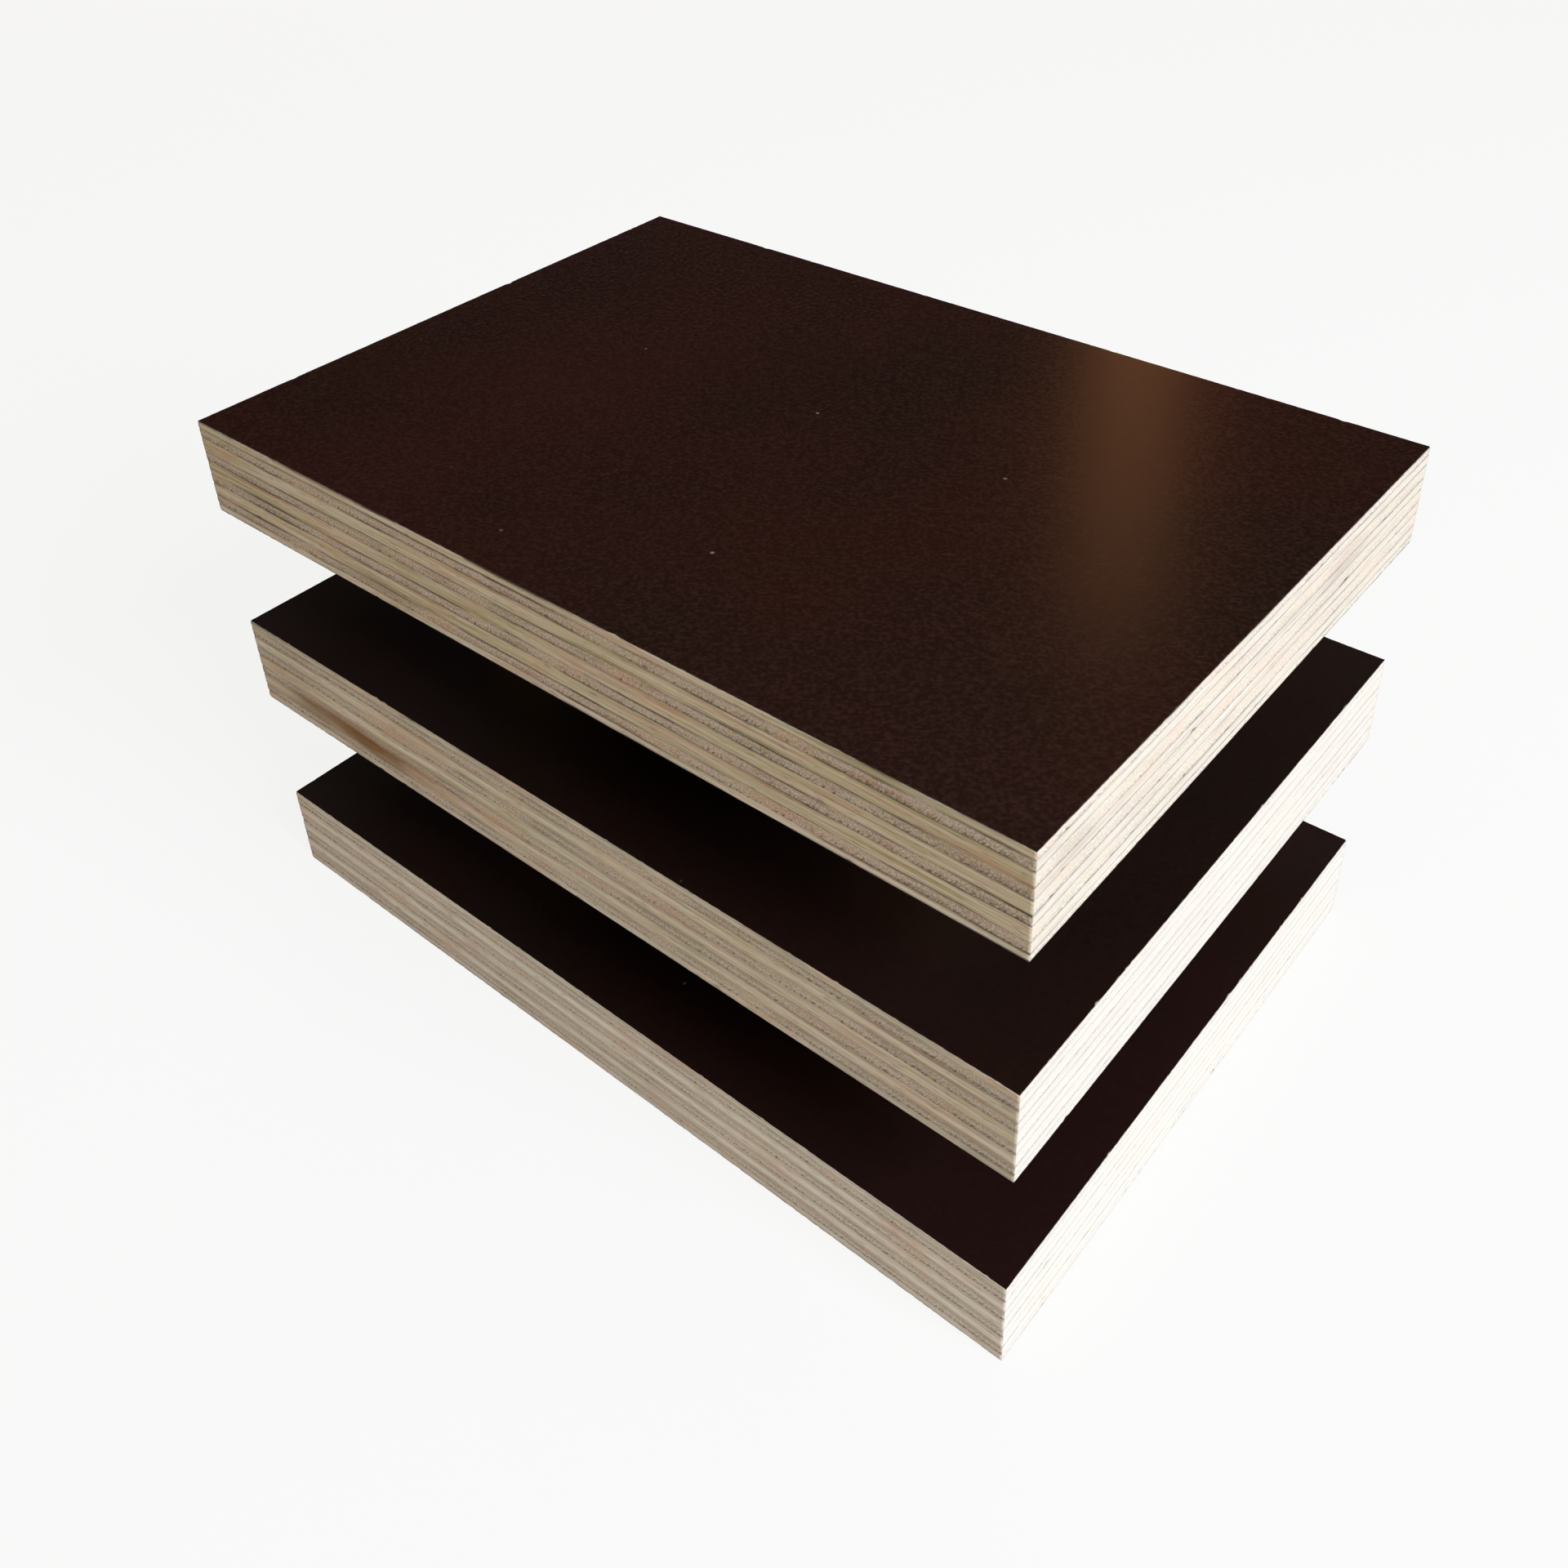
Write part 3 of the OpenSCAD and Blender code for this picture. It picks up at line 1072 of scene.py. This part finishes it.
# %% Run the tree for each spacer
for gap in ("lower", "upper"):
    for place in ("left", "right"):
        node = f"{gap}_{place}_spacer"
        low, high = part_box(node)
        values = {"Low": list(low), "High": list(high), "Arris": ARRIS, "Material": spruce}
        piece = make_piece(f"{gap}_{place}_batten", batten_tree, values)
        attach(piece, "root")
        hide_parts(node)
        print(piece.name, len(piece.data.polygons), "faces")

# %% [markdown]
# ## Camera
# The camera stands close by, off the corner where a long and a short edge meet, and looks down. A
# view that close spreads the near corner, and that perspective is what makes the panels look small.
# A camera could be moved by hand until the view looks right. Here its place, its angles and its lens
# were fitted to where the corners of the sheets lie in the picture. The lens points above the middle
# of the picture, which a camera shift gives without tilting the view.

# %% Place the camera
PICTURE_PX = 1920
FOCAL_PX = 1947
CENTRE_PX = 650  # how far down the picture the lens points
SENSOR = 36.0
CAMERA_PLACE = Vector((149.4, -172.1, 229.2)) * MM
AZIMUTH, ELEVATION, ROLL = (math.radians(angle) for angle in (41.32, 32.68, 2.32))

behind = Vector((
    math.sin(AZIMUTH) * math.cos(ELEVATION), -math.cos(AZIMUTH) * math.cos(ELEVATION), math.sin(ELEVATION),
))
level_right = (-behind).cross(Vector((0, 0, 1))).normalized()
level_up = behind.cross(level_right)
right = level_right * math.cos(ROLL) - level_up * math.sin(ROLL)
up = level_up * math.cos(ROLL) + level_right * math.sin(ROLL)
camera = bpy.data.objects.new("camera", bpy.data.cameras.new("camera"))
camera.matrix_world = Matrix.Translation(CAMERA_PLACE) @ Matrix((right, up, behind)).transposed().to_4x4()
camera.data.sensor_width = SENSOR
camera.data.lens = SENSOR * FOCAL_PX / PICTURE_PX
camera.data.shift_y = (CENTRE_PX - PICTURE_PX / 2) / PICTURE_PX
camera.data.clip_start = 1 * MM
bpy.context.scene.collection.objects.link(camera)
bpy.context.scene.camera = camera
bpy.context.scene.view_settings.view_transform = "Standard"
print(f"lens {camera.data.lens:.1f} mm, shift {camera.data.shift_y:.3f}")

# %% [markdown]
# ## Floor
# The floor is plain and white, and keeps the soft shadow of the stack. A white floor under soft light
# renders a little grey, and more light would bleach the stack. So what the camera and reflections
# see of it is mostly a glow of plain white, and the rest is real, shaded floor.

# %% Build the floor
FLOOR_HALF = 3.0
FLOOR_DROP = 0.02 * MM
FLOOR_GLOW = 0.85
MATT = 0.9  # roughness of a surface without any sheen
CORNERS = ((-1, -1), (1, -1), (1, 1), (-1, 1))


def seen_plainly(tree):
    """1 for the rays of the camera, of mirrors and of glass, and 0 for the rays that carry light."""
    ray = add_node(tree, "ShaderNodeLightPath").outputs
    seen = ray["Is Camera Ray"]
    for kind in ("Is Glossy Ray", "Is Transmission Ray"):
        seen = add_node(tree, "ShaderNodeMath", {0: seen, 1: ray[kind]}, operation="MAXIMUM")
    return seen


def add_stage(name, corners, material):
    """A flat four-cornered surface of the studio, which is no part of the stack."""
    mesh = bpy.data.meshes.new(name)
    mesh.from_pydata(corners, [], [(0, 1, 2, 3)])
    mesh.materials.append(material)
    surface = bpy.data.objects.new(name, mesh)
    bpy.context.scene.collection.objects.link(surface)
    surface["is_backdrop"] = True
    return surface


floor_material, floor_tree = new_material("white_floor")
matt = add_node(
    floor_tree, "ShaderNodeBsdfPrincipled",
    {"Base Color": linear("#e9e3da"), "Roughness": MATT, "Specular IOR Level": 0.0},
)
glow = add_node(floor_tree, "ShaderNodeEmission", {"Strength": 1.0})
glowing = add_node(
    floor_tree, "ShaderNodeMath", {0: seen_plainly(floor_tree), 1: FLOOR_GLOW}, operation="MULTIPLY"
)
both = add_node(
    floor_tree, "ShaderNodeMixShader", {0: glowing, 1: matt.outputs["BSDF"], 2: glow.outputs["Emission"]}
)
add_node(floor_tree, "ShaderNodeOutputMaterial", {"Surface": both})
add_stage("floor", [(x * FLOOR_HALF, y * FLOOR_HALF, -FLOOR_DROP) for x, y in CORNERS], floor_material)
print("the floor is", 2 * FLOOR_HALF, "m wide")

# %% [markdown]
# ## A dark card
# A glossy film looks dark only if what it mirrors is dark. A photographer stands a black card where
# the film mirrors it, and so does this scene. The card is hidden from the camera and from the light
# that falls on the stack, so it neither shows nor casts a shadow.

# %% Stand the card behind the stack
CARD_AWAY = 1.55
CARD_HEIGHT = 0.57
CARD_HALF = (1.2, 0.31)

away = Vector((-math.sin(AZIMUTH), math.cos(AZIMUTH), 0))
across = Vector((math.cos(AZIMUTH), math.sin(AZIMUTH), 0))
card_middle = away * CARD_AWAY + Vector((0, 0, CARD_HEIGHT))
card_material, card_tree = new_material("black_card")
card_paper = add_node(
    card_tree, "ShaderNodeBsdfPrincipled", {"Base Color": linear("#1c1613"), "Roughness": MATT}
)
add_node(card_tree, "ShaderNodeOutputMaterial", {"Surface": card_paper.outputs["BSDF"]})
card_corners = [
    card_middle + across * (x * CARD_HALF[0]) + Vector((0, 0, z * CARD_HALF[1])) for x, z in CORNERS
]
card = add_stage("card", card_corners, card_material)
for ray in ("camera", "diffuse", "shadow"):
    setattr(card, f"visible_{ray}", False)
print("the card stands", CARD_AWAY, "m behind the stack")

# %% [markdown]
# ## Lamps
# One large cool lamp on the right lights the short edges strongly and leaves the long edges in half
# shade. A sun would do that too, but with hard shadows. A low warm lamp behind, on the left, keeps the
# two far edges out of the dark. The film would mirror that one, so it is hidden from reflections.

# %% Light the stack
STACK_MIDDLE = (cad_box[0] + cad_box[1]) / 2


def add_lamp(name, place, target, size, power, colour):
    """A rectangular area lamp at a place, turned towards a target."""
    data = bpy.data.lights.new(name, "AREA")
    data.shape = "RECTANGLE"
    data.size, data.size_y = size
    data.energy = power
    data.color = linear(colour)[:3]
    lamp = bpy.data.objects.new(name, data)
    lamp.location = place
    lamp.rotation_mode = "QUATERNION"
    lamp.rotation_quaternion = (Vector(target) - Vector(place)).to_track_quat("-Z", "Y")
    bpy.context.scene.collection.objects.link(lamp)
    return lamp


key = add_lamp(
    "key", place=(1.20, -0.12, 0.82), target=STACK_MIDDLE, size=(0.7, 0.7), power=25.2, colour="#e6f0ff"
)
fill = add_lamp(
    "fill", place=(-1.15, 1.05, 0.16), target=STACK_MIDDLE, size=(0.9, 0.3), power=7.0, colour="#fff1e0"
)
fill.visible_glossy = False
print("key to fill is", round(key.data.energy / fill.data.energy, 1), "to 1")

# %% [markdown]
# ## Sky
# The sky lights the stack softly from all round. It is warm near the horizon and pale overhead, but
# dim between, because that part is what the film mirrors. What is seen of it low down, behind the
# stack or in a mirror, is a plain white wall, so a level view has a white background too.

# %% Make the sky
SKY_STRENGTH = 0.9
WALL_FADE = {"From Min": 0.32, "From Max": 0.40, "To Min": 1, "To Max": 0}  # height of a ray, whiteness

world = bpy.data.worlds.new("studio")
world.use_nodes = True
bpy.context.scene.world = world
sky_tree = world.node_tree
toward = add_node(sky_tree, "ShaderNodeTexCoord").outputs["Generated"]
height = add_node(sky_tree, "ShaderNodeSeparateXYZ", {0: toward}).outputs["Z"]
sky = add_node(
    sky_tree, "ShaderNodeValToRGB", {"Fac": height},
    stops=[
        (0.0, "#d2b187"), (0.18, "#c0a07c"), (0.27, "#221c18"),
        (0.46, "#261f1b"), (0.72, "#564b44"), (0.92, "#e8e8e8"),
    ],
)
low = add_node(
    sky_tree, "ShaderNodeMapRange", {"Value": height, **WALL_FADE}, interpolation_type="SMOOTHSTEP"
)
wall = add_node(sky_tree, "ShaderNodeMath", {0: low, 1: seen_plainly(sky_tree)}, operation="MULTIPLY")
background = sky_tree.nodes["Background"]
background.inputs["Strength"].default_value = SKY_STRENGTH
colour = paint_over(sky_tree, sky, [(wall, "#ffffff")])
sky_tree.links.new(colour, background.inputs["Color"])
print(f"the white wall ends {math.degrees(math.asin(WALL_FADE['From Max'])):.0f} degrees up")

# %% [markdown]
# ## The streak on the film
# A warm upright streak lies on the top film: the mirror image of something narrow and bright. Painting
# it on the film would fix it there, and a real reflection moves with the eye. So a weak, narrow lamp
# makes it. A ray from the camera through the streak's place in the picture meets the film, and is
# mirrored there, and the lamp stands on the mirrored ray.

# %% Place the lamp of the streak
STREAK_PX = (1385, 520)
STREAK_AWAY = 1.3
STREAK_SIZE = (0.085, 0.42)
STREAK_POWER = 0.15
STREAK_COLOUR = "#ffae72"

ray_right = (STREAK_PX[0] - PICTURE_PX / 2) / FOCAL_PX
ray_down = (STREAK_PX[1] - CENTRE_PX) / FOCAL_PX
look = (right * ray_right - up * ray_down - behind).normalized()
film_spot = CAMERA_PLACE + look * ((cad_box[1].z - CAMERA_PLACE.z) / look.z)
mirrored = Vector((look.x, look.y, -look.z))
add_lamp(
    "streak", place=film_spot + mirrored * STREAK_AWAY, target=film_spot,
    size=STREAK_SIZE, power=STREAK_POWER, colour=STREAK_COLOUR,
)
print("the film mirrors the streak at", [round(part / MM) for part in film_spot], "mm")

# %% [markdown]
# ## Keep the measure
# Torn fibres only go inwards, so the dressed stack can be no larger than the solids. How much its box
# differs from theirs is printed.

# %% Compare the boxes and finish
visual_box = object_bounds()
growth = (visual_box[1] - visual_box[0]) - (cad_box[1] - cad_box[0])
print("grown by", [round(side / MM, 2) for side in growth], "mm")
